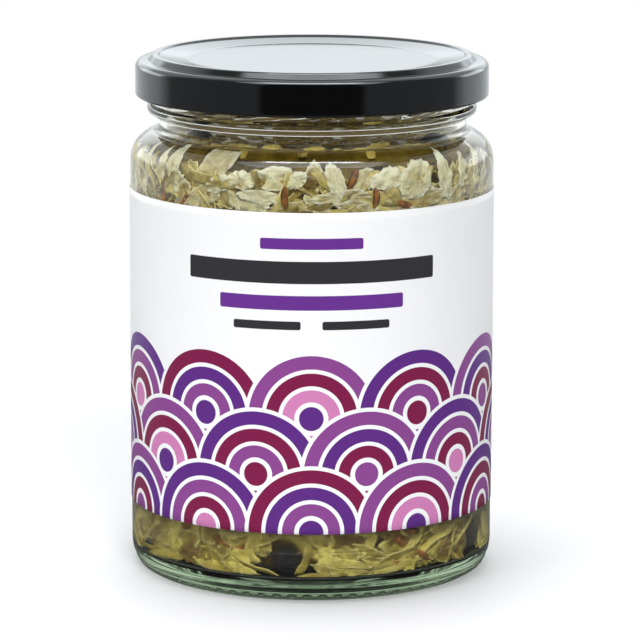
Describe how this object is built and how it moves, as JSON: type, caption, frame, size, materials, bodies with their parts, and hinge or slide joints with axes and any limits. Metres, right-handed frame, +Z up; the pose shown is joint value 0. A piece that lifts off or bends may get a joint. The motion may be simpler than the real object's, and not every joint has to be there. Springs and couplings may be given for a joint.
{
  "type": "jar of sauerkraut",
  "caption": "Round glass food jar with a black twist-off lid and a wrap-round label, filled with shredded fermented cabbage in brine with floating juniper berries.",
  "frame": {"origin": "centre of the jar's bearing ring, on the surface that it stands on", "axes": "+Z up along the jar's axis, -Y towards the front of the label, +X to the right of the front"},
  "size_m": [0.0874, 0.0872, 0.124],
  "materials": {
    "glass": "clear, faint green",
    "lid_lacquer": "gloss black",
    "sealing_compound": "matte off-white",
    "label_paper": "coated white with a violet and burgundy print",
    "cabbage_in_brine": "wet, pale yellow-green, stands in for food",
    "juniper_skin": "blue-black with a bloom, stands in for food"
  },
  "bodies": {
    "root": {"jar": "glass", "lid": "lid_lacquer", "gasket": "sealing_compound", "label": "label_paper", "sauerkraut": "cabbage_in_brine", "juniper_1": "juniper_skin", "juniper_2": "juniper_skin"}
  },
  "joints": []
}
